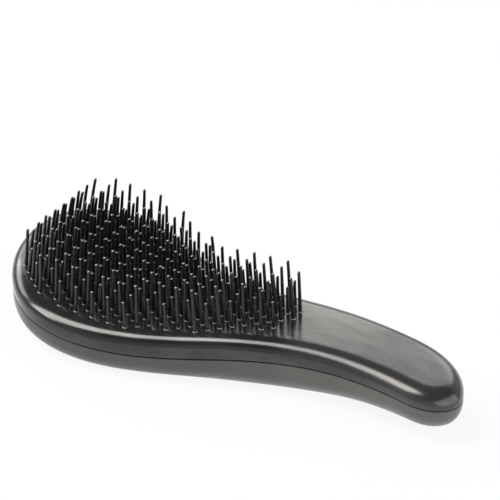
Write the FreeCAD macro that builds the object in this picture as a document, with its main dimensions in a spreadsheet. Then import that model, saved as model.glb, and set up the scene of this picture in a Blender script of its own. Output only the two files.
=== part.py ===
"""Detangling brush with an S-curved plan, lying on its back with the bristles up.

Two moulded shells meet along one seam round the whole brush. The upper shell carries the dished
bristle face and the field of long and short bristles, and the lower shell closes it from behind.
"""
import FreeCAD, Part
import math
import os

from FreeCAD import Placement, Rotation, Vector

# Driving dimensions in millimetres, as the sheet holds them
SIZES = {
    # Overall plan
    "brush_length": 185.0,
    "head_width": 76.0,
    "cut_overrun": 5.0,
    # Seam between the shells, seen from the side
    "seam_dip_height": 9.9,
    "seam_dip_from_tip": 70.0,
    "seam_tip_radius": 386.0,
    "seam_neck_radius": 284.0,
    "seam_crest_from_tip": 150.0,
    "seam_crest_radius": 480.0,
    # Bristle face, seen from the side
    "face_dip_height": 18.0,
    "face_dip_from_tip": 67.0,
    "face_tip_radius": 354.0,
    "face_neck_radius": 297.0,
    "face_crest_from_tip": 135.0,
    "face_crest_radius": 501.0,
    # Back of the cover, seen from the side, with a level stretch that the brush rests on
    "back_rest_from_tip": 62.0,
    "back_rest_length": 43.0,
    "back_tip_radius": 439.0,
    "back_neck_radius": 300.0,
    "back_crest_from_tip": 168.0,
    "back_crest_radius": 238.0,
    # Shells
    "shell_wall": 2.0,
    "rim_radius": 4.0,
    "back_edge_radius": 6.0,
    "cover_floor": 3.5,
    "seam_chamfer": 0.25,
    "lip_wall": 1.2,
    "lip_height": 2.5,
    "lip_clearance": 0.15,
    # Bristles
    "bristle_base_diameter": 1.3,
    "bristle_neck_diameter": 0.85,
    "bristle_point_length": 0.35,
    "long_bristle_length": 16.5,
    "short_bristle_length": 10.5,
    # Bristle field
    "column_pitch": 3.4,
    "bristle_pitch": 5.4,
    "field_margin": 5.6,
    "field_start_from_tip": 8.0,
    "field_end_from_tip": 116.5,
    "field_end_radius": 17.0,
    "field_end_offset": 6.6,
    "field_turn": 5.0,
}

# Sides of a bristle's cross-section
BRISTLE_SIDES = 6

# How far an edge may lie from a side line that it follows, as a share of the round's radius
EDGE_SLACK_SHARE = 0.1

# Plan outline as shares of the brush's length and the head's width, counter-clockwise from the tip
OUTLINE_SHARES = [
    (-0.500, 0.128),
    (-0.449, -0.266),
    (-0.359, -0.451),
    (-0.243, -0.501),
    (-0.127, -0.447),
    (0.036, -0.276),
    (0.230, -0.125),
    (0.400, -0.120),
    (0.462, -0.112),
    (0.498, -0.020),
    (0.478, 0.135),
    (0.405, 0.257),
    (0.322, 0.292),
    (0.200, 0.305),
    (0.022, 0.291),
    (-0.150, 0.370),
    (-0.303, 0.499),
    (-0.431, 0.432),
    (-0.488, 0.275),
]


def drop(radius, aside):
    """Return how far a circle falls from its top at a distance aside."""
    return radius - math.sqrt(radius ** 2 - aside ** 2)


class SideLine:
    """A line of the side view: it dips under the head, then rises to the tip and to the handle's crest."""

    def __init__(self, dip_start, dip_end, dip_height, tip_radius, neck_radius, crest, crest_radius):
        self.dip_start = dip_start
        self.dip_end = dip_end
        self.dip_height = dip_height
        self.tip_radius = tip_radius
        self.neck_radius = neck_radius
        self.crest = crest
        self.crest_radius = crest_radius
        reach = crest - dip_end
        radii = neck_radius + crest_radius
        self.joint = dip_end + reach * neck_radius / radii
        self.crest_height = dip_height + radii - math.sqrt(radii ** 2 - reach ** 2)

    def moved(self, rise):
        """Return the parallel line that lies this far above, or below where the rise is negative."""
        return SideLine(
            self.dip_start,
            self.dip_end,
            self.dip_height + rise,
            self.tip_radius - rise,
            self.neck_radius - rise,
            self.crest,
            self.crest_radius + rise,
        )

    def height(self, x):
        """Return the line's height at a place along the brush."""
        if x < self.dip_start:
            return self.dip_height + drop(self.tip_radius, x - self.dip_start)
        if x < self.dip_end:
            return self.dip_height
        if x < self.joint:
            return self.dip_height + drop(self.neck_radius, x - self.dip_end)
        return self.crest_height - drop(self.crest_radius, x - self.crest)

    def normal(self, x):
        """Return the upward unit normal of the line at a place along the brush."""
        if x < self.dip_start:
            lean = (x - self.dip_start) / self.tip_radius
        elif x < self.dip_end:
            lean = 0.0
        elif x < self.joint:
            lean = (x - self.dip_end) / self.neck_radius
        else:
            lean = -(x - self.crest) / self.crest_radius
        return Vector(-lean, 0, math.sqrt(1 - lean ** 2))

    def point(self, x):
        """Return a point of the line in sketch coordinates."""
        return Vector(x, self.height(x), 0)

    def arc(self, start, end):
        """Return the circular stretch between two places."""
        return Part.Arc(self.point(start), self.point((start + end) / 2), self.point(end))

    def curves(self, start, end):
        """Return the line's arcs and its level stretch, from one place to another."""
        stretches = [self.arc(start, self.dip_start)]
        if self.dip_end > self.dip_start:
            stretches.append(Part.LineSegment(self.point(self.dip_start), self.point(self.dip_end)))
        stretches.append(self.arc(self.dip_end, self.joint))
        stretches.append(self.arc(self.joint, end))
        return stretches


def make_sheet(doc):
    """Write the driving dimensions into the document's spreadsheet."""
    sheet = doc.addObject("Spreadsheet::Sheet", "Sizes")
    for row, (alias, value) in enumerate(SIZES.items(), start=1):
        sheet.set(f"A{row}", alias)
        sheet.set(f"B{row}", str(value))
        sheet.setAlias(f"B{row}", alias)
    doc.recompute()
    return sheet


def from_tip(sheet, distance):
    """Return the place along the brush that lies this far from the head's tip."""
    return distance - sheet.brush_length / 2


def seam_line(sheet):
    """Return the side line of the seam between the shells."""
    dip = from_tip(sheet, sheet.seam_dip_from_tip)
    return SideLine(
        dip,
        dip,
        sheet.seam_dip_height,
        sheet.seam_tip_radius,
        sheet.seam_neck_radius,
        from_tip(sheet, sheet.seam_crest_from_tip),
        sheet.seam_crest_radius,
    )


def face_line(sheet):
    """Return the side line of the bristle face and the handle's upper face."""
    dip = from_tip(sheet, sheet.face_dip_from_tip)
    return SideLine(
        dip,
        dip,
        sheet.face_dip_height,
        sheet.face_tip_radius,
        sheet.face_neck_radius,
        from_tip(sheet, sheet.face_crest_from_tip),
        sheet.face_crest_radius,
    )


def back_line(sheet):
    """Return the side line of the cover's back, level where the brush rests."""
    rest = from_tip(sheet, sheet.back_rest_from_tip)
    return SideLine(
        rest,
        rest + sheet.back_rest_length,
        0,
        sheet.back_tip_radius,
        sheet.back_neck_radius,
        from_tip(sheet, sheet.back_crest_from_tip),
        sheet.back_crest_radius,
    )


def outline(sheet):
    """Return the plan outline as a closed spline through its points, with the points themselves."""
    points = [Vector(x * sheet.brush_length, y * sheet.head_width, 0) for x, y in OUTLINE_SHARES]
    spline = Part.BSplineCurve()
    spline.interpolate(Points=points, PeriodicFlag=True)
    return spline, points


def plan_arc(point, direction, joint, inset):
    """Return the arc that leaves a point in a direction and ends at a joint, moved inside by an inset."""
    inward = Vector(-direction.y, direction.x, 0)
    chord = joint - point
    radius = chord.dot(chord) / (2 * inward.dot(chord))
    centre = point + inward * radius
    ends = [centre + (place - centre) * ((radius - inset) / radius) for place in (point, joint)]
    middle = (ends[0] + ends[1]) / 2 - centre
    return Part.Arc(ends[0], centre + middle * (abs(radius - inset) / middle.Length), ends[1])


def inner_outline(sheet, inset):
    """Return the outline that lies inside the plan's by an inset, as arcs that join smoothly.

    Two arcs lead from each point of the plan to the next in the spline's own directions, so that
    every inset keeps the same distance from every other.
    """
    spline, points = outline(sheet)
    directions = [spline.tangent(spline.parameter(point))[0] for point in points]
    arcs = []
    for index, end in enumerate(points):
        start = points[index - 1]
        leaving = directions[index - 1]
        arriving = directions[index]
        chord = end - start
        bend = 2 * (1 - leaving.dot(arriving))
        along = 2 * chord.dot(leaving + arriving)
        reach = (math.sqrt(along ** 2 + 4 * bend * chord.dot(chord)) - along) / (2 * bend)
        joint = (start + leaving * reach + end - arriving * reach) / 2
        arcs.append(plan_arc(start, leaving, joint, inset))
        arcs.append(plan_arc(end, arriving, joint, inset))
    return arcs


def new_sketch(body, name, role):
    """Add a sketch on one of the body's own origin planes."""
    plane = next(item for item in body.Origin.OriginFeatures if item.Role == role)
    sketch = body.newObject("Sketcher::SketchObject", name)
    sketch.AttachmentSupport = [(plane, "")]
    sketch.MapMode = "FlatFace"
    return sketch


def make_form(doc, sheet, name, low, high, plan_curves):
    """Build a body between two side lines, cut to a closed plan outline."""
    body = doc.addObject("PartDesign::Body", name)
    end = sheet.brush_length / 2 + sheet.cut_overrun
    side = sheet.head_width / 2 + sheet.cut_overrun

    band_sketch = new_sketch(body, f"{name}_side", "XZ_Plane")
    band_sketch.addGeometry(low.curves(-end, end) + high.curves(-end, end))
    band_sketch.addGeometry(Part.LineSegment(low.point(-end), high.point(-end)))
    band_sketch.addGeometry(Part.LineSegment(low.point(end), high.point(end)))
    band = body.newObject("PartDesign::Pad", f"{name}_band")
    band.Profile = band_sketch
    band.SideType = "Symmetric"
    band.setExpression("Length", f"{sheet.Name}.head_width + 2 * {sheet.Name}.cut_overrun")

    plan_sketch = new_sketch(body, f"{name}_plan", "XY_Plane")
    corners = [Vector(-end, -side, 0), Vector(end, -side, 0), Vector(end, side, 0), Vector(-end, side, 0)]
    for first, second in zip(corners, corners[1:] + corners[:1]):
        plan_sketch.addGeometry(Part.LineSegment(first, second))
    plan_sketch.addGeometry(plan_curves)
    plan = body.newObject("PartDesign::Pocket", f"{name}_trim")
    plan.Profile = plan_sketch
    plan.Type = "ThroughAll"
    plan.SideType = "Symmetric"
    doc.recompute()
    return body


def rim_edges(body, line, slack):
    """Return the names of the edges that run round the body along a side line, within a slack."""
    names = []
    for index, edge in enumerate(body.Shape.Edges, start=1):
        samples = edge.discretize(5)
        on_line = all(abs(point.z - line.height(point.x)) < slack for point in samples)
        if on_line and edge.Curve.TypeId != "Part::GeomLine":
            names.append(f"Edge{index}")
    return names


def bevel(doc, body, names, size):
    """Bevel a body's edges by a size worked out from the sheet."""
    base = body.Tip
    feature = body.newObject("PartDesign::Chamfer", f"{body.Name}_bevel")
    feature.Base = (base, names)
    feature.setExpression("Size", size)
    doc.recompute()


def round_edges(doc, sheet, body, line, alias, rise):
    """Round the edges along a side line by three flats that touch the round, which keeps the mesh light.

    The first flat lies at half the corner's turn, and its two edges are then bevelled again.
    """
    radius = sheet.get(alias)
    first_size = radius * (1 - math.tan(math.radians(22.5)))
    slack = radius * EDGE_SLACK_SHARE
    bevel(doc, body, rim_edges(body, line, slack), f"{sheet.Name}.{alias} * (1 - tan(22.5 deg))")
    names = rim_edges(body, line, slack) + rim_edges(body, line.moved(rise * first_size), slack)
    bevel(doc, body, names, f"{sheet.Name}.{alias} * (tan(22.5 deg) - tan(11.25 deg))")


def make_front_shell(doc, sheet):
    """Build the upper shell: the face, its rounded rim and the walls down to the seam."""
    seam = seam_line(sheet)
    face = face_line(sheet)
    form = make_form(doc, sheet, "front_form", seam, face, outline(sheet)[:1])
    round_edges(doc, sheet, form, face, "rim_radius", -1)
    bevel(doc, form, rim_edges(form, seam, sheet.seam_chamfer / 2), f"{sheet.Name}.seam_chamfer")
    low = seam.moved(-sheet.cut_overrun)
    high = face.moved(-sheet.shell_wall)
    hollow = make_form(doc, sheet, "front_hollow", low, high, inner_outline(sheet, sheet.shell_wall))
    shell = doc.addObject("Part::Cut", "front_shell")
    shell.Base = form
    shell.Tool = hollow
    return shell


def make_back_cover(doc, sheet):
    """Build the lower shell: the rounded back, its walls up to the seam and the lip inside the seam."""
    seam = seam_line(sheet)
    back = back_line(sheet)
    form = make_form(doc, sheet, "cover_form", back, seam, outline(sheet)[:1])
    round_edges(doc, sheet, form, back, "back_edge_radius", 1)
    bevel(doc, form, rim_edges(form, seam, sheet.seam_chamfer / 2), f"{sheet.Name}.seam_chamfer")
    lip_inset = sheet.shell_wall + sheet.lip_clearance
    lip_plan = inner_outline(sheet, lip_inset)
    lip_root = seam.moved(-sheet.lip_height)
    lip_top = seam.moved(sheet.lip_height)
    lip = make_form(doc, sheet, "lip_form", lip_root, lip_top, lip_plan)
    low = back.moved(sheet.cover_floor)
    high = seam.moved(sheet.cut_overrun)
    hollow_plan = inner_outline(sheet, lip_inset + sheet.lip_wall)
    hollow = make_form(doc, sheet, "cover_hollow", low, high, hollow_plan)
    lipped = doc.addObject("Part::Fuse", "lipped_form")
    lipped.Base = form
    lipped.Tool = lip
    cover = doc.addObject("Part::Cut", "back_cover")
    cover.Base = lipped
    cover.Tool = hollow
    return cover


def make_pin(doc, sheet, name, length):
    """Build one bristle, standing on the origin: a taper from root to neck under a short blunt point."""
    rings = [
        (sheet.bristle_base_diameter / 2, 0),
        (sheet.bristle_neck_diameter / 2, length - sheet.bristle_point_length),
    ]
    step = 2 * math.pi / BRISTLE_SIDES
    angles = [side * step for side in range(BRISTLE_SIDES)]
    root, neck = [
        [Vector(radius * math.cos(angle), radius * math.sin(angle), height) for angle in angles]
        for radius, height in rings
    ]
    point = Vector(0, 0, length)
    polygons = [root]
    for side in range(BRISTLE_SIDES):
        polygons.append([root[side - 1], root[side], neck[side], neck[side - 1]])
        polygons.append([neck[side - 1], neck[side], point])
    faces = [Part.Face(Part.makePolygon(polygon + polygon[:1])) for polygon in polygons]
    solid = Part.Solid(Part.Shell(faces))
    if solid.Volume < 0:
        solid.reverse()
    pin = doc.addObject("Part::Feature", name)
    pin.Shape = solid
    return pin


def field_places(sheet):
    """Return the plan places of the long and of the short bristles.

    Columns run across the brush and are long and short by turns, each shifted by half a pitch from
    the one before, and the first lies at the handle's end of the field.
    """
    region = Part.Face(Part.Wire([arc.toShape() for arc in inner_outline(sheet, sheet.field_margin)]))
    first = from_tip(sheet, sheet.field_end_from_tip)
    last = from_tip(sheet, sheet.field_start_from_tip)
    end_centre = Vector(first - sheet.field_end_radius, sheet.field_end_offset, 0)
    turn = Rotation(Vector(0, 0, 1), sheet.field_turn)
    pivot = Vector(first, 0, 0)
    columns = math.ceil(sheet.brush_length / sheet.column_pitch)
    rows = math.ceil(sheet.head_width / sheet.bristle_pitch)
    places = {"long": [], "short": []}
    for column in range(columns):
        kind = "short" if column % 2 else "long"
        shift = sheet.bristle_pitch / 2 if column % 2 else 0
        for row in range(-rows, rows + 1):
            offset = Vector(-column * sheet.column_pitch, row * sheet.bristle_pitch + shift, 0)
            place = pivot + turn.multVec(offset)
            in_end = place.x < end_centre.x or place.distanceToPoint(end_centre) <= sheet.field_end_radius
            if in_end and place.x >= last and region.isInside(place, sheet.seam_chamfer, True):
                places[kind].append(place)
    return places


def make_bristles(doc, sheet, name, pin, places):
    """Stand a copy of a bristle on the face, square to it, at each place of the field."""
    face = face_line(sheet)
    solids = []
    for place in places:
        solid = pin.Shape.copy()
        foot = Vector(place.x, place.y, face.height(place.x))
        solid.Placement = Placement(foot, Rotation(Vector(0, 0, 1), face.normal(place.x)))
        solids.append(solid)
    group = doc.addObject("Part::Feature", name)
    group.Shape = Part.makeCompound(solids)
    return group


def check(doc, nodes):
    """Stop with an error where an object of the document failed or a node has no sound shape."""
    for item in doc.Objects:
        if "Invalid" in item.State or "Error" in item.State:
            raise RuntimeError(f"{item.Name} is in state {item.State}")
    for node in nodes:
        if node.Shape.isNull() or not node.Shape.isValid():
            raise RuntimeError(f"{node.Label} has no valid shape")


def main():
    """Build the brush and write one STEP file for each piece."""
    doc = FreeCAD.newDocument("detangling_brush")
    sheet = make_sheet(doc)
    long_pin = make_pin(doc, sheet, "long_pin", sheet.long_bristle_length)
    short_pin = make_pin(doc, sheet, "short_pin", sheet.short_bristle_length)
    places = field_places(sheet)
    nodes = [
        make_front_shell(doc, sheet),
        make_back_cover(doc, sheet),
        make_bristles(doc, sheet, "long_bristles", long_pin, places["long"]),
        make_bristles(doc, sheet, "short_bristles", short_pin, places["short"]),
    ]
    doc.recompute()
    for node in nodes:
        node.Label = node.Name
    check(doc, nodes)
    os.makedirs("parts", exist_ok=True)
    for node in nodes:
        node.Shape.exportStep(f"parts/{node.Label}.step")
        box = node.Shape.BoundBox
        print(node.Label, len(node.Shape.Solids), "solids", round(node.Shape.Volume, 1), "mm3", box)


main()
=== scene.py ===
"""A detangling brush in dark moulded plastic, lying on its back in a white studio.

The casing's two shells are lofted round the brush's S-curved plan, and a round bristle with a collar
and a domed tip stands at each place where the frame holds a bristle's solid.
"""
import logging
import math
import random
from dataclasses import dataclass
from enum import Enum
from typing import Any, Callable

import bmesh
import bpy
import numpy as np
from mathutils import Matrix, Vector


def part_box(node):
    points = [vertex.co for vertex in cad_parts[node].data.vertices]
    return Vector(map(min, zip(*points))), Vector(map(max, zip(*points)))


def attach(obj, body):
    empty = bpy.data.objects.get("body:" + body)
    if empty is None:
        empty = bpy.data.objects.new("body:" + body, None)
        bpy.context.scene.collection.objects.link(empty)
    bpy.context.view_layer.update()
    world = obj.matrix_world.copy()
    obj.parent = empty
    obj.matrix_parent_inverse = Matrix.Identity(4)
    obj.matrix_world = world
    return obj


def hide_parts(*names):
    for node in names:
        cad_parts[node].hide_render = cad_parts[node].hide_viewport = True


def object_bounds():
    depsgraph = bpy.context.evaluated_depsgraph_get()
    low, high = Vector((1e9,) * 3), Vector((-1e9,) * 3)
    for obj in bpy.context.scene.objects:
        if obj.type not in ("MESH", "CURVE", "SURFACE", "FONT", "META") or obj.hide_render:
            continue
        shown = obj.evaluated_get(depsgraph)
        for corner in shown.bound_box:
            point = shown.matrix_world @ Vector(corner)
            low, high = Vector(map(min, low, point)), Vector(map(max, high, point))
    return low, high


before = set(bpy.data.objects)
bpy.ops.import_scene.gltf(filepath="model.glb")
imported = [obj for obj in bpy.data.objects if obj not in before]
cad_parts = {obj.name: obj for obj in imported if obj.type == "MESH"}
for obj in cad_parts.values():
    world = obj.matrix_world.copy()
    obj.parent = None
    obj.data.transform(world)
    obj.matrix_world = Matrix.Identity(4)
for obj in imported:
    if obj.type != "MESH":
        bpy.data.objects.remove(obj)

CAD_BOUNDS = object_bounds()
MM = 0.001
LOG = logging.getLogger("brush")

Colour = tuple[float, float, float, float]
Tint = tuple[float, float, float]
Place = tuple[float, float, float]
HeightLine = Callable[[np.ndarray], np.ndarray]

WHITE: Colour = (1.0, 1.0, 1.0, 1.0)

# Vertex attribute that is 1 where a moulded form is polished
POLISH = "polish"

# Places of the colour sockets on a Mix node
MIX_FIRST = 6
MIX_SECOND = 7
MIX_RESULT = 2

# The middle of a noise texture's values
NOISE_MIDDLE = 0.5

# Plan outline as shares of the brush's length and width, counter-clockwise from the tip
OUTLINE_SHARES: tuple[tuple[float, float], ...] = (
    (-0.500, 0.128),
    (-0.449, -0.266),
    (-0.359, -0.451),
    (-0.243, -0.501),
    (-0.127, -0.447),
    (0.036, -0.276),
    (0.230, -0.125),
    (0.400, -0.120),
    (0.462, -0.112),
    (0.498, -0.020),
    (0.478, 0.135),
    (0.405, 0.257),
    (0.322, 0.292),
    (0.200, 0.305),
    (0.022, 0.291),
    (-0.150, 0.370),
    (-0.303, 0.499),
    (-0.431, 0.432),
    (-0.488, 0.275),
)


class BristleKind(Enum):
    """The two kinds of bristle, by the name of the CAD node that holds their solids."""

    LONG = "long_bristles"
    SHORT = "short_bristles"


class Facing(Enum):
    """Which way a shell faces from the seam."""

    UP = 1
    DOWN = -1


class Easing(Enum):
    """How a value passes from one end of a range to the other."""

    LINEAR = "LINEAR"
    SMOOTH = "SMOOTHSTEP"


class Number:
    """A shader socket that takes part in arithmetic, each step adding a Math node."""

    def __init__(self, graph: "Graph", socket: bpy.types.NodeSocket) -> None:
        """Keep the socket and the graph that it belongs to."""
        self.graph = graph
        self.socket = socket

    def _math(self, operation: str, first: "Number | float", second: "Number | float") -> "Number":
        """Add a Math node.

        Args:
            operation: The Math node's operation.
            first: The first value.
            second: The second value.

        Returns:
            The node's result.
        """
        node = self.graph.node("ShaderNodeMath", {"operation": operation}, {0: first, 1: second})
        return Number(self.graph, node.outputs[0])

    def __add__(self, other: "Number | float") -> "Number":
        """Return this value plus another."""
        return self._math("ADD", self, other)

    def __radd__(self, other: "Number | float") -> "Number":
        """Return another value plus this one."""
        return self._math("ADD", other, self)

    def __sub__(self, other: "Number | float") -> "Number":
        """Return this value less another."""
        return self._math("SUBTRACT", self, other)

    def __rsub__(self, other: "Number | float") -> "Number":
        """Return another value less this one."""
        return self._math("SUBTRACT", other, self)

    def __mul__(self, other: "Number | float") -> "Number":
        """Return this value times another."""
        return self._math("MULTIPLY", self, other)

    def __rmul__(self, other: "Number | float") -> "Number":
        """Return another value times this one."""
        return self._math("MULTIPLY", other, self)

    def at_most(self, limit: "Number | float") -> "Number":
        """Return the lesser of this value and a limit."""
        return self._math("MINIMUM", self, limit)


class Graph:
    """A node tree with one method that adds any node."""

    def __init__(self, tree: bpy.types.NodeTree) -> None:
        """Clear the tree and keep it."""
        self.tree = tree
        tree.nodes.clear()

    def node(self, kind: str, settings: dict[str, Any], inputs: dict[Any, Any]) -> bpy.types.Node:
        """Add a node.

        Args:
            kind: The node's type.
            settings: Values of the node's own properties, set first.
            inputs: Values or links of its sockets, by name or place.

        Returns:
            The new node.
        """
        node = self.tree.nodes.new(kind)
        for name, value in settings.items():
            setattr(node, name, value)
        for key, value in inputs.items():
            source = value.socket if isinstance(value, Number) else value
            if isinstance(source, bpy.types.NodeSocket):
                self.tree.links.new(source, node.inputs[key])
            else:
                node.inputs[key].default_value = source
        return node

    def number(self, kind: str, settings: dict[str, Any], inputs: dict[Any, Any], output: str) -> Number:
        """Add a node and return one of its outputs as a value for arithmetic."""
        return Number(self, self.node(kind, settings, inputs).outputs[output])

    def noise(self, place: bpy.types.NodeSocket, size: float, detail: float, roughness: float) -> Number:
        """Add a noise texture.

        Args:
            place: The coordinates that the noise follows.
            size: The size of its largest spots.
            detail: How many finer layers it has.
            roughness: How strongly each finer layer shows.

        Returns:
            The noise's value.
        """
        inputs = {"Vector": place, "Scale": 1 / size, "Detail": detail, "Roughness": roughness}
        return self.number("ShaderNodeTexNoise", {}, inputs, "Fac")

    def ramp(
        self,
        value: "Number | bpy.types.NodeSocket",
        start: float,
        end: float,
        low: float = 0.0,
        high: float = 1.0,
        easing: Easing = Easing.SMOOTH,
    ) -> Number:
        """Carry a range of values over to another range.

        Args:
            value: The value to carry over.
            start: Where its range starts.
            end: Where its range ends.
            low: The result at the start and before it.
            high: The result at the end and beyond it.
            easing: How the result passes between the two.

        Returns:
            The result.
        """
        inputs = {"Value": value, "From Min": start, "From Max": end, "To Min": low, "To Max": high}
        return self.number("ShaderNodeMapRange", {"interpolation_type": easing.value}, inputs, "Result")


@dataclass(frozen=True)
class PlasticFinish:
    """A dark moulded plastic: a fine spark-eroded grain, and a sheen that handling has made uneven.

    The surface is polished and deep on the head's side of the ramp's start, and satin beyond its end,
    where the base colour is also paler as painted light: a painted sheen on the handle.
    """

    name: str
    deep_colour: Colour
    pale_colour: Colour
    roughness: float
    polished_roughness: float
    roughness_spread: float
    grain_size: float
    grain_height: float
    smudge_size: float
    satin_and_sheen_start: float
    satin_and_sheen_end: float
    coat: float = 0.0
    coat_roughness: float = 0.1
    coat_ior: float = 1.5
    film: float = 0.0
    film_start: float = 0.35
    film_end: float = 0.65
    streak_share: float = 0.28
    # Share of the paler colour that is painted sheen beyond the bristle field; the rest follows the random
    # smudges
    painted_sheen_share: float = 0.5
    smudge_detail: float = 6.0
    smudge_contrast: float = 0.66
    grain_detail: float = 2.0
    grain_contrast: float = 0.5

    def material(self) -> bpy.types.Material:
        """Build the material.

        Returns:
            The finished material.
        """
        material = bpy.data.materials.new(self.name)
        material.use_nodes = True
        graph = Graph(material.node_tree)
        place = graph.node("ShaderNodeTexCoord", {}, {}).outputs["Object"]
        stretch = {0: place, 1: (self.streak_share, 1.0, 1.0)}
        streaked = graph.node("ShaderNodeVectorMath", {"operation": "MULTIPLY"}, stretch).outputs["Vector"]
        smudge = graph.noise(streaked, self.smudge_size, self.smudge_detail, self.smudge_contrast)
        grain = graph.noise(place, self.grain_size, self.grain_detail, self.grain_contrast)
        along = graph.node("ShaderNodeSeparateXYZ", {}, {"Vector": place}).outputs["X"]
        # Turns to satin beyond the bristle field; the same ramp also paints a paler sheen into the base
        # colour there
        satin_and_painted_sheen = graph.ramp(along, self.satin_and_sheen_start, self.satin_and_sheen_end)
        polish = graph.number("ShaderNodeAttribute", {"attribute_name": POLISH}, {}, "Fac")
        film = graph.ramp(smudge, self.film_start, self.film_end, high=self.film, easing=Easing.LINEAR)
        step = self.roughness - self.polished_roughness
        unevenness = (smudge - NOISE_MIDDLE) * self.roughness_spread
        # Paler with the random smudges, and paler again beyond the bristle field as painted sheen
        smudge_and_painted_sheen = smudge * (1 - self.painted_sheen_share) + satin_and_painted_sheen * self.painted_sheen_share
        colour = graph.node(
            "ShaderNodeMix",
            {"data_type": "RGBA"},
            {"Factor": smudge_and_painted_sheen, MIX_FIRST: self.deep_colour, MIX_SECOND: self.pale_colour},
        )
        bump = graph.node("ShaderNodeBump", {}, {"Height": grain, "Distance": self.grain_height})
        shader = graph.node(
            "ShaderNodeBsdfPrincipled",
            {},
            {
                "Base Color": colour.outputs[MIX_RESULT],
                "Roughness": self.polished_roughness + satin_and_painted_sheen * step + unevenness,
                "Normal": bump.outputs["Normal"],
                "Coat Weight": polish * self.coat + film,
                "Coat Roughness": self.coat_roughness,
                "Coat IOR": self.coat_ior,
            },
        )
        graph.node("ShaderNodeOutputMaterial", {}, {"Surface": shader.outputs["BSDF"]})
        return material


class ClosedSpline:
    """A smooth closed curve through points of a plan, with equal bends where its stretches meet."""

    def __init__(self, points: np.ndarray) -> None:
        """Work out the curve's slopes at the points, spaced by the lengths of their chords.

        Args:
            points: The points in order, the last one joined to the first.
        """
        self.points = points
        following = np.roll(points, -1, axis=0)
        self.spans = np.hypot(*(following - points).T)
        self.knots = np.concatenate([[0.0], np.cumsum(self.spans)])
        count = len(points)
        system = np.zeros((count, count))
        sides = np.zeros((count, 2))
        for index in range(count):
            before = self.spans[index - 1]
            after = self.spans[index]
            nearer = (points[index] - points[index - 1]) / before
            further = (following[index] - points[index]) / after
            system[index, index - 1] = after
            system[index, index] = 2 * (before + after)
            system[index, (index + 1) % count] = before
            sides[index] = 3 * (after * nearer + before * further)
        self.slopes = np.linalg.solve(system, sides)

    @property
    def length(self) -> float:
        """The sum of the chords, which is where the curve's parameter ends."""
        return float(self.knots[-1])

    def evaluate(self, parameters: np.ndarray) -> tuple[np.ndarray, np.ndarray]:
        """Return the points and inward unit normals at some parameters.

        Args:
            parameters: Distances along the chords, from any turn round the curve.

        Returns:
            The points, and the normals that point to the inside of the plan.
        """
        wrapped = np.mod(parameters, self.length)
        index = np.clip(np.searchsorted(self.knots, wrapped, side="right") - 1, 0, len(self.spans) - 1)
        span = self.spans[index][:, None]
        share = (wrapped - self.knots[index])[:, None] / span
        start = self.points[index]
        end = self.points[(index + 1) % len(self.points)]
        start_slope = self.slopes[index] * span
        end_slope = self.slopes[(index + 1) % len(self.points)] * span
        place = (
            (2 * share**3 - 3 * share**2 + 1) * start
            + (share**3 - 2 * share**2 + share) * start_slope
            + (3 * share**2 - 2 * share**3) * end
            + (share**3 - share**2) * end_slope
        )
        along = (
            (6 * share**2 - 6 * share) * (start - end)
            + (3 * share**2 - 4 * share + 1) * start_slope
            + (3 * share**2 - 2 * share) * end_slope
        )
        along = along / np.hypot(*along.T)[:, None]
        return place, np.stack([-along[:, 1], along[:, 0]], axis=1)


def drop(radius: float, aside: np.ndarray | float) -> np.ndarray | float:
    """Return how far a circle falls from its top at a distance to the side."""
    return radius - np.sqrt(radius**2 - aside**2)


@dataclass(frozen=True)
class SideLine:
    """A line of the side view: it dips under the head, then rises to the tip and to the handle's crest."""

    dip_start: float
    dip_end: float
    dip_height: float
    tip_radius: float
    neck_radius: float
    crest: float
    crest_radius: float

    def height(self, x: np.ndarray) -> np.ndarray:
        """Return the line's height at places along the brush.

        Args:
            x: Distances from the brush's middle.

        Returns:
            The heights above the floor.
        """
        reach = self.crest - self.dip_end
        radii = self.neck_radius + self.crest_radius
        joint = self.dip_end + reach * self.neck_radius / radii
        crest_height = self.dip_height + drop(radii, reach)
        to_tip = np.minimum(x - self.dip_start, 0)
        to_neck = np.clip(x - self.dip_end, 0, joint - self.dip_end)
        to_crest = np.maximum(x, joint) - self.crest
        tip = self.dip_height + drop(self.tip_radius, to_tip)
        neck = self.dip_height + drop(self.neck_radius, to_neck)
        crest = crest_height - drop(self.crest_radius, to_crest)
        return np.where(x < self.dip_start, tip, np.where(x < joint, neck, crest))


@dataclass(frozen=True)
class EdgeRound:
    """The soft round of a surface's edge: how far it reaches inwards, and how deep."""

    reach: float
    depth: float


def from_tip(distance: float) -> float:
    """Return the place along the brush that lies this far from the head's tip."""
    return CAD_BOUNDS[0].x + distance


def add_piece(name: str, mesh_data: bmesh.types.BMesh, sharp_angle: float) -> bpy.types.Object:
    """Turn a built mesh into a smooth piece of the scene.

    Args:
        name: The piece's name.
        mesh_data: The mesh, which is freed.
        sharp_angle: The least turn between faces that stays a crisp edge, in radians.

    Returns:
        The new object.
    """
    mesh = bpy.data.meshes.new(name)
    bmesh.ops.recalc_face_normals(mesh_data, faces=mesh_data.faces)
    mesh_data.to_mesh(mesh)
    mesh_data.free()
    mesh.shade_smooth()
    mesh.set_sharp_from_angle(angle=sharp_angle)
    piece = bpy.data.objects.new(name, mesh)
    bpy.context.scene.collection.objects.link(piece)
    return piece


def dress(piece: bpy.types.Object, material: bpy.types.Material, node: str) -> None:
    """Give a piece its material, hang it on the root body, and hide the CAD node that it replaces.

    Args:
        piece: The piece.
        material: Its material.
        node: The CAD node that it replaces.
    """
    piece.data.materials.append(material)
    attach(piece, "root")
    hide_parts(node)


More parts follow.
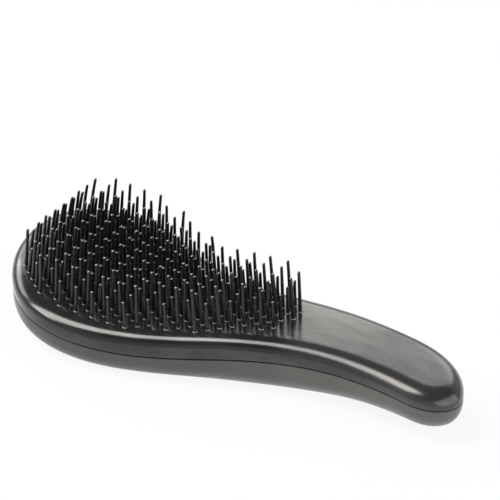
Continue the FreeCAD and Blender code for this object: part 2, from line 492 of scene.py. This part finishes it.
@dataclass
class Casing:
    """The brush's two moulded shells, lofted round the plan and split by a fine groove at the seam."""

    length: float
    width: float
    face: SideLine
    seam: SideLine
    back: SideLine
    rim_round: EdgeRound = EdgeRound(reach=6.5 * MM, depth=4.5 * MM)
    back_round: EdgeRound = EdgeRound(reach=8.0 * MM, depth=8.0 * MM)
    groove_root: float = 2.2 * MM
    groove_depth: float = 1.2 * MM
    groove_half_gap: float = 0.28 * MM
    lip_inset: float = 0.14 * MM
    lip_height: float = 0.42 * MM
    skin_inset: float = 0.01 * MM
    plan_samples: int = 4000
    stations: int = 220
    columns: int = 14
    wall_rings: int = 6
    round_rings: int = 12
    sharp_angle: float = math.radians(30)

    def __post_init__(self) -> None:
        """Lay out the stations round the plan, from tip to handle end on each side."""
        scale = np.array([self.length, self.width])
        spline = ClosedSpline(np.array(OUTLINE_SHARES) * scale)
        samples = np.linspace(0, spline.length, self.plan_samples, endpoint=False)
        along = spline.evaluate(samples)[0][:, 0]
        tip = samples[np.argmin(along)]
        end = samples[np.argmax(along)]
        if end < tip:
            end += spline.length
        near = np.linspace(tip, end, self.stations + 1)
        far = np.linspace(end, tip + spline.length, self.stations + 1)
        self.plan, self.inward = spline.evaluate(np.concatenate([near[:-1], far[:-1]]))

    def ring(self, inset: float, height: HeightLine) -> np.ndarray:
        """Return a closed ring of points inside the plan.

        Args:
            inset: The ring's distance from the plan's outline.
            height: The ring's height for places along the brush.

        Returns:
            The ring's points.
        """
        flat = self.plan + self.inward * (inset + self.skin_inset)
        return np.column_stack([flat, height(flat[:, 0])])

    def close(self, mesh: bmesh.types.BMesh, ring: list[bmesh.types.BMVert], line: SideLine) -> None:
        """Close a ring by rows of faces across the brush that follow a side line.

        Args:
            mesh: The mesh that the ring belongs to.
            ring: The ring's vertices, the near side first.
            line: The side line that the faces lie on.
        """
        count = len(ring)
        rows = []
        for index in range(1, self.stations):
            near = ring[index]
            far = ring[count - index]
            row = [near]
            for column in range(1, self.columns):
                place = near.co.lerp(far.co, column / self.columns)
                place.z = float(line.height(np.array([place.x]))[0])
                row.append(mesh.verts.new(place))
            row.append(far)
            rows.append(row)
        for first, second in zip(rows, rows[1:]):
            for column in range(self.columns):
                mesh.faces.new([first[column], second[column], second[column + 1], first[column + 1]])
        for pole, row in ((ring[0], rows[0]), (ring[self.stations], rows[-1])):
            for column in range(self.columns):
                mesh.faces.new([pole, row[column], row[column + 1]])

    def shell(self, name: str, rings: list[np.ndarray], first: SideLine, last: SideLine) -> bpy.types.Object:
        """Loft a closed shell.

        Args:
            name: The piece's name.
            rings: The rings from the seam outwards and on to the face or the back.
            first: The side line that closes the first ring.
            last: The side line that closes the last ring.

        Returns:
            The shell's object.
        """
        mesh = bmesh.new()
        loops = [[mesh.verts.new(place) for place in ring] for ring in rings]
        for low, high in zip(loops, loops[1:]):
            for index in range(len(low)):
                mesh.faces.new([low[index - 1], low[index], high[index], high[index - 1]])
        self.close(mesh, loops[0], first)
        self.close(mesh, loops[-1], last)
        return add_piece(name, mesh, self.sharp_angle)

    def half(self, name: str, surface: SideLine, edge: EdgeRound, facing: Facing) -> bpy.types.Object:
        """Build one shell from the seam to its own surface.

        Args:
            name: The piece's name.
            surface: The side line of the face or of the back.
            edge: The soft round at that surface's edge.
            facing: Whether the shell lies above the seam or below it.

        Returns:
            The shell's object.
        """
        side = facing.value

        def lip_foot(x: np.ndarray) -> np.ndarray:
            """Return the height of the groove's wall."""
            return self.seam.height(x) + side * self.groove_half_gap

        def lip_top(x: np.ndarray) -> np.ndarray:
            """Return the height where the lip's bevel meets the wall."""
            return lip_foot(x) + side * self.lip_height

        def edge_foot(x: np.ndarray) -> np.ndarray:
            """Return the height where the edge's round starts."""
            return surface.height(x) - side * edge.depth

        rings = [
            self.ring(self.groove_root, self.seam.height),
            self.ring(self.groove_depth, lip_foot),
            self.ring(self.lip_inset, lip_foot),
            self.ring(0, lip_top),
        ]
        for step in range(1, self.wall_rings):
            share = step / self.wall_rings
            rings.append(self.ring(0, lambda x, up=share: (1 - up) * lip_top(x) + up * edge_foot(x)))
        for step in range(self.round_rings + 1):
            turn = math.pi / 2 * step / self.round_rings
            inset = edge.reach * (1 - math.cos(turn))
            rise = side * edge.depth * math.sin(turn)
            rings.append(self.ring(inset, lambda x, rise=rise: edge_foot(x) + rise))
        return self.shell(name, rings, self.seam, surface)

    def build(self, front: PlasticFinish, cover: PlasticFinish) -> list[bpy.types.Object]:
        """Build and dress both shells.

        Args:
            front: The finish of the shell that carries the bristles.
            cover: The finish of the back cover.

        Returns:
            The two shells.
        """
        front_shell = self.half("front_shell_body", self.face, self.rim_round, Facing.UP)
        dress(front_shell, front.material(), "front_shell")
        back_cover = self.half("back_cover_body", self.back, self.back_round, Facing.DOWN)
        dress(back_cover, cover.material(), "back_cover")
        return [front_shell, back_cover]


@dataclass
class BristleField:
    """Round bristles with a collar at the root and a domed tip, one for each solid of the CAD field."""

    root_radius: float = 0.72 * MM
    neck_radius: float = 0.53 * MM
    dome_angle: float = math.radians(48)
    tip_gap: float = 0.03 * MM
    collar_radius: float = 1.05 * MM
    collar_round: float = 0.3 * MM
    lean_spread: float = math.radians(1.0)
    tip_lean: float = math.radians(6)
    tip_zone: float = 24.0 * MM
    sides: int = 16
    dome_rings: int = 5
    collar_rings: int = 4
    shaft_rings: int = 5
    sharp_angle: float = math.radians(60)
    merge_distance: float = 0.005 * MM
    root_share: float = 0.9
    seed: int = 7

    def pins(self, kind: BristleKind) -> list[tuple[Vector, Vector]]:
        """Read where the bristles of one kind stand.

        Args:
            kind: The kind of bristle.

        Returns:
            The foot and the tip of each bristle.
        """
        mesh = bmesh.new()
        mesh.from_mesh(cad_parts[kind.value].data)
        bmesh.ops.remove_doubles(mesh, verts=mesh.verts, dist=self.merge_distance)
        # A dict keeps its order, so every run adds up the vertices alike
        waiting = dict.fromkeys(mesh.verts)
        pins = []
        while waiting:
            island = [waiting.popitem()[0]]
            for vertex in island:
                for edge in vertex.link_edges:
                    other = edge.other_vert(vertex)
                    if other in waiting:
                        del waiting[other]
                        island.append(other)
            tip = max((vertex.co for vertex in island), key=lambda place: place.z).copy()
            reach = max((vertex.co - tip).length for vertex in island)
            root = [vertex.co for vertex in island if (vertex.co - tip).length > reach * self.root_share]
            pins.append((sum(root, Vector()) / len(root), tip))
        mesh.free()
        return sorted(pins, key=lambda pin: (pin[0].x, pin[0].y))

    def profile(self, length: float) -> list[tuple[float, float, float]]:
        """Return a bristle's rings from collar to tip.

        Args:
            length: The bristle's length.

        Returns:
            The radius, the height and the polish of each ring.
        """
        steps = []
        for step in range(self.collar_rings + 1):
            turn = math.pi / 2 * step / self.collar_rings
            inset = self.collar_round * (1 - math.cos(turn))
            steps.append((self.collar_radius - inset, self.collar_round * math.sin(turn), 1.0))
        dome_radius = self.neck_radius / math.sin(self.dome_angle)
        start = self.collar_round
        end = length - dome_radius * (1 - math.cos(self.dome_angle))
        for step in range(self.shaft_rings + 1):
            share = step / self.shaft_rings
            radius = self.root_radius + share * (self.neck_radius - self.root_radius)
            steps.append((radius, start + share * (end - start), 0.0))
        for step in range(self.dome_rings):
            turn = self.dome_angle * (1 - step / self.dome_rings)
            rise = dome_radius * (math.cos(turn) - math.cos(self.dome_angle))
            steps.append((dome_radius * math.sin(turn), end + rise, 1.0))
        return steps

    def grow(self, mesh: bmesh.types.BMesh, foot: Vector, tip: Vector, lean: Vector) -> None:
        """Add one bristle to a mesh.

        Args:
            mesh: The mesh that takes the bristle.
            foot: The centre of the bristle's root.
            tip: The bristle's tip before it leans.
            lean: How far the tip leans aside for each unit of length.
        """
        length = (tip - foot).length - self.tip_gap
        up = (tip - foot).normalized()
        across = up.cross(Vector((0, 1, 0))).normalized()
        aside = up.cross(across)
        polish = mesh.verts.layers.float[POLISH]
        loops = []
        for radius, height, shine in self.profile(length):
            centre = foot + up * height + lean * (height * height / length)
            loop = []
            for side in range(self.sides):
                turn = 2 * math.pi * side / self.sides
                outward = across * math.cos(turn) + aside * math.sin(turn)
                vertex = mesh.verts.new(centre + outward * radius)
                vertex[polish] = shine
                loop.append(vertex)
            loops.append(loop)
        for low, high in zip(loops, loops[1:]):
            for side in range(self.sides):
                mesh.faces.new([low[side - 1], low[side], high[side], high[side - 1]])
        top = mesh.verts.new(foot + up * length + lean * length)
        top[polish] = 1.0
        for side in range(self.sides):
            mesh.faces.new([loops[-1][side - 1], loops[-1][side], top])
        mesh.faces.new(loops[0])

    def build(self, finish: PlasticFinish) -> list[bpy.types.Object]:
        """Build and dress the long and the short bristles.

        Args:
            finish: The bristles' finish.

        Returns:
            One piece for each kind.
        """
        material = finish.material()
        draw = random.Random(self.seed)
        pieces = []
        for kind in BristleKind:
            mesh = bmesh.new()
            mesh.verts.layers.float.new(POLISH)
            for foot, tip in self.pins(kind):
                lean = Vector((draw.gauss(0, self.lean_spread), draw.gauss(0, self.lean_spread), 0))
                lean.x += self.tip_lean * max(0.0, 1 - (foot.x - CAD_BOUNDS[0].x) / self.tip_zone)
                self.grow(mesh, foot, tip, lean)
            piece = add_piece(f"{kind.value}_field", mesh, self.sharp_angle)
            dress(piece, material, kind.value)
            pieces.append(piece)
        return pieces


@dataclass(frozen=True)
class SoftLamp:
    """A rectangular soft lamp that faces the brush, with the brightness and tint of its face."""

    name: str
    place: Place
    size: tuple[float, float]
    glow: float
    tint: Tint

    def hang(self) -> bpy.types.Object:
        """Hang the lamp in the scene, out of the camera's sight.

        Returns:
            The lamp's object.
        """
        width, height = self.size
        place = Vector(self.place)
        data = bpy.data.lights.new(self.name, "AREA")
        data.shape = "RECTANGLE"
        data.size = width
        data.size_y = height
        data.energy = self.glow * math.pi * width * height
        data.color = self.tint
        lamp = bpy.data.objects.new(self.name, data)
        lamp.location = place
        lamp.visible_camera = False
        lamp.rotation_euler = (-place).to_track_quat("-Z", "Y").to_euler()
        bpy.context.scene.collection.objects.link(lamp)
        return lamp


def background_rays(graph: Graph) -> tuple[Number, Number]:
    """Tell apart the rays that see the background.

    Args:
        graph: The graph that takes the nodes.

    Returns:
        Two values: 1 for rays that see it directly or through glass, and 1 for rays of a reflection.
    """
    path = graph.node("ShaderNodeLightPath", {}, {}).outputs
    shown = Number(graph, path["Is Camera Ray"]) + Number(graph, path["Is Transmission Ray"])
    return shown, Number(graph, path["Is Glossy Ray"])


@dataclass
class Studio:
    """The white floor, the soft lamps and the camera at the picture's viewing angle."""

    lamps: tuple[SoftLamp, ...]
    camera_place: Place = (310.8 * MM, -452.6 * MM, 362.7 * MM)
    camera_target: Place = (-20.1 * MM, 43.6 * MM, 15.8 * MM)
    focal_length: float = 131.2
    sensor_width: float = 36.0
    floor_size: float = 6.0
    floor_squares: int = 8
    floor_sharp_angle: float = math.radians(30)
    floor_white: float = 0.82
    floor_glow: float = 0.9
    shadow_reach: float = 0.25
    floor_fade: float = 0.9
    ambient: float = 0.15
    backdrop: float = 0.45
    ceiling: float = 0.06
    backdrop_height: float = math.sin(math.radians(33))
    backdrop_fade: float = math.sin(math.radians(42))

    def floor(self) -> bpy.types.Object:
        """Build the floor, white to the camera and still shaded under the brush.

        Returns:
            The floor's object.
        """
        squares = self.floor_squares
        mesh = bmesh.new()
        bmesh.ops.create_grid(mesh, x_segments=squares, y_segments=squares, size=self.floor_size / 2)
        floor = add_piece("studio_floor", mesh, self.floor_sharp_angle)
        material = bpy.data.materials.new("studio_white")
        material.use_nodes = True
        graph = Graph(material.node_tree)
        white = (self.floor_white, self.floor_white, self.floor_white, 1.0)
        matte = graph.node("ShaderNodeBsdfDiffuse", {}, {"Color": white})
        glow = graph.node("ShaderNodeEmission", {}, {"Color": WHITE, "Strength": 1.0})
        place = graph.node("ShaderNodeTexCoord", {}, {}).outputs["Object"]
        distance = graph.number("ShaderNodeVectorMath", {"operation": "LENGTH"}, {0: place}, "Value")
        whiteness = graph.ramp(distance, self.shadow_reach, self.floor_fade, low=self.floor_glow)
        shown, glossy = background_rays(graph)
        factor = (shown + glossy).at_most(1.0) * whiteness
        sides = {0: factor, 1: matte.outputs["BSDF"], 2: glow.outputs["Emission"]}
        mix = graph.node("ShaderNodeMixShader", {}, sides)
        graph.node("ShaderNodeOutputMaterial", {}, {"Surface": mix.outputs["Shader"]})
        floor.data.materials.append(material)
        return floor

    def world(self) -> None:
        """Light the scene evenly, under a white backdrop that ends in a dark ceiling."""
        world = bpy.data.worlds.new("studio_world")
        bpy.context.scene.world = world
        world.use_nodes = True
        graph = Graph(world.node_tree)
        direction = graph.node("ShaderNodeTexCoord", {}, {}).outputs["Generated"]
        rise = graph.node("ShaderNodeSeparateXYZ", {}, {"Vector": direction}).outputs["Z"]
        backdrop = graph.ramp(rise, self.backdrop_height, self.backdrop_fade, self.backdrop, self.ceiling)
        shown, glossy = background_rays(graph)
        strength = (shown + glossy * backdrop + (1.0 - shown - glossy) * self.ambient).at_most(1.0)
        background = graph.node("ShaderNodeBackground", {}, {"Color": WHITE, "Strength": strength})
        graph.node("ShaderNodeOutputWorld", {}, {"Surface": background.outputs["Background"]})

    def camera(self) -> bpy.types.Object:
        """Set the camera where the picture was taken from.

        Returns:
            The camera's object.
        """
        place = Vector(self.camera_place)
        direction = Vector(self.camera_target) - place
        data = bpy.data.cameras.new("camera")
        data.lens = self.focal_length
        data.sensor_width = self.sensor_width
        camera = bpy.data.objects.new("camera", data)
        camera.location = place
        camera.rotation_euler = direction.to_track_quat("-Z", "Y").to_euler()
        bpy.context.scene.collection.objects.link(camera)
        bpy.context.scene.camera = camera
        return camera

    def build(self) -> None:
        """Set up the floor, the light and the camera."""
        bpy.context.scene.view_settings.view_transform = "Standard"
        self.floor()
        self.world()
        for lamp in self.lamps:
            lamp.hang()
        self.camera()


def brush_casing() -> Casing:
    """Size the casing's plan and the three lines of its side view.

    Returns:
        The casing, not yet built.
    """
    face_dip = from_tip(67.0 * MM)
    seam_dip = from_tip(70.0 * MM)
    return Casing(
        length=185.0 * MM,
        width=76.0 * MM,
        face=SideLine(
            dip_start=face_dip,
            dip_end=face_dip,
            dip_height=18.0 * MM,
            tip_radius=354.0 * MM,
            neck_radius=297.0 * MM,
            crest=from_tip(135.0 * MM),
            crest_radius=501.0 * MM,
        ),
        seam=SideLine(
            dip_start=seam_dip,
            dip_end=seam_dip,
            dip_height=9.9 * MM,
            tip_radius=386.0 * MM,
            neck_radius=284.0 * MM,
            crest=from_tip(150.0 * MM),
            crest_radius=480.0 * MM,
        ),
        back=SideLine(
            dip_start=from_tip(62.0 * MM),
            dip_end=from_tip(105.0 * MM),
            dip_height=0.0,
            tip_radius=439.0 * MM,
            neck_radius=300.0 * MM,
            crest=from_tip(168.0 * MM),
            crest_radius=238.0 * MM,
        ),
    )


def brush_finishes() -> tuple[PlasticFinish, PlasticFinish, PlasticFinish]:
    """Mix the brush's plastics, which turn from polished to satin where the bristle field ends, with a paler
    base colour there as painted sheen.

    Returns:
        The finishes of the front shell, the back cover and the bristles.
    """
    fade_length = 10.0 * MM
    field_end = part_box(BristleKind.LONG.value)[1].x
    satin_and_sheen_from = field_end + fade_length
    # The pale colours come with the random smudges and, beyond the bristle field, as painted sheen on the
    # handle
    front = PlasticFinish(
        name="satin_black_front",
        deep_colour=(0.006, 0.006, 0.007, 1.0),
        pale_colour=(0.038, 0.038, 0.040, 1.0),
        roughness=0.21,
        polished_roughness=0.15,
        roughness_spread=0.10,
        grain_size=0.35 * MM,
        grain_height=0.014 * MM,
        smudge_size=12.0 * MM,
        satin_and_sheen_start=field_end,
        satin_and_sheen_end=satin_and_sheen_from,
        coat_roughness=0.2,
        film=0.8,
    )
    cover = PlasticFinish(
        name="satin_black_cover",
        deep_colour=(0.060, 0.058, 0.054, 1.0),
        pale_colour=(0.103, 0.099, 0.092, 1.0),
        roughness=0.36,
        polished_roughness=0.36,
        roughness_spread=0.10,
        grain_size=0.35 * MM,
        grain_height=0.01 * MM,
        smudge_size=22.0 * MM,
        satin_and_sheen_start=field_end,
        satin_and_sheen_end=satin_and_sheen_from,
        coat_roughness=0.25,
        film=0.6,
    )
    bristle = PlasticFinish(
        name="gloss_black_bristle",
        deep_colour=(0.008, 0.008, 0.009, 1.0),
        pale_colour=(0.018, 0.018, 0.020, 1.0),
        roughness=0.22,
        polished_roughness=0.22,
        roughness_spread=0.08,
        grain_size=0.3 * MM,
        grain_height=0.004 * MM,
        smudge_size=6.0 * MM,
        satin_and_sheen_start=field_end,
        satin_and_sheen_end=satin_and_sheen_from,
        coat=1.0,
        coat_ior=2.4,
    )
    return front, cover, bristle


def studio_lamps() -> tuple[SoftLamp, ...]:
    """Choose the studio's lamps, which are warm but for the one on the handle's side.

    Returns:
        The lamps, not yet hung.
    """
    warm = (1.0, 0.96, 0.91)
    cool = (0.91, 0.95, 1.0)
    return (
        SoftLamp("overhead_strip", place=(-0.62, -0.46, 1.0), size=(0.48, 1.25), glow=8.5, tint=warm),
        SoftLamp("rear_softbox", place=(-0.70, 1.05, 0.73), size=(1.8, 0.66), glow=2.25, tint=warm),
        SoftLamp("right_softbox", place=(1.1, 0.0, 0.5), size=(1.9, 1.05), glow=2.1, tint=cool),
        SoftLamp("left_softbox", place=(-1.2, 0.1, 0.66), size=(0.8, 0.4), glow=4.5, tint=warm),
    )


def main() -> None:
    """Build the brush and its studio."""
    logging.basicConfig(level=logging.INFO)
    front, cover, bristle = brush_finishes()
    pieces = brush_casing().build(front, cover) + BristleField().build(bristle)
    for piece in pieces:
        LOG.info("%s: %d faces", piece.name, len(piece.data.polygons))
    Studio(studio_lamps()).build()


if __name__ == "__main__":
    main()
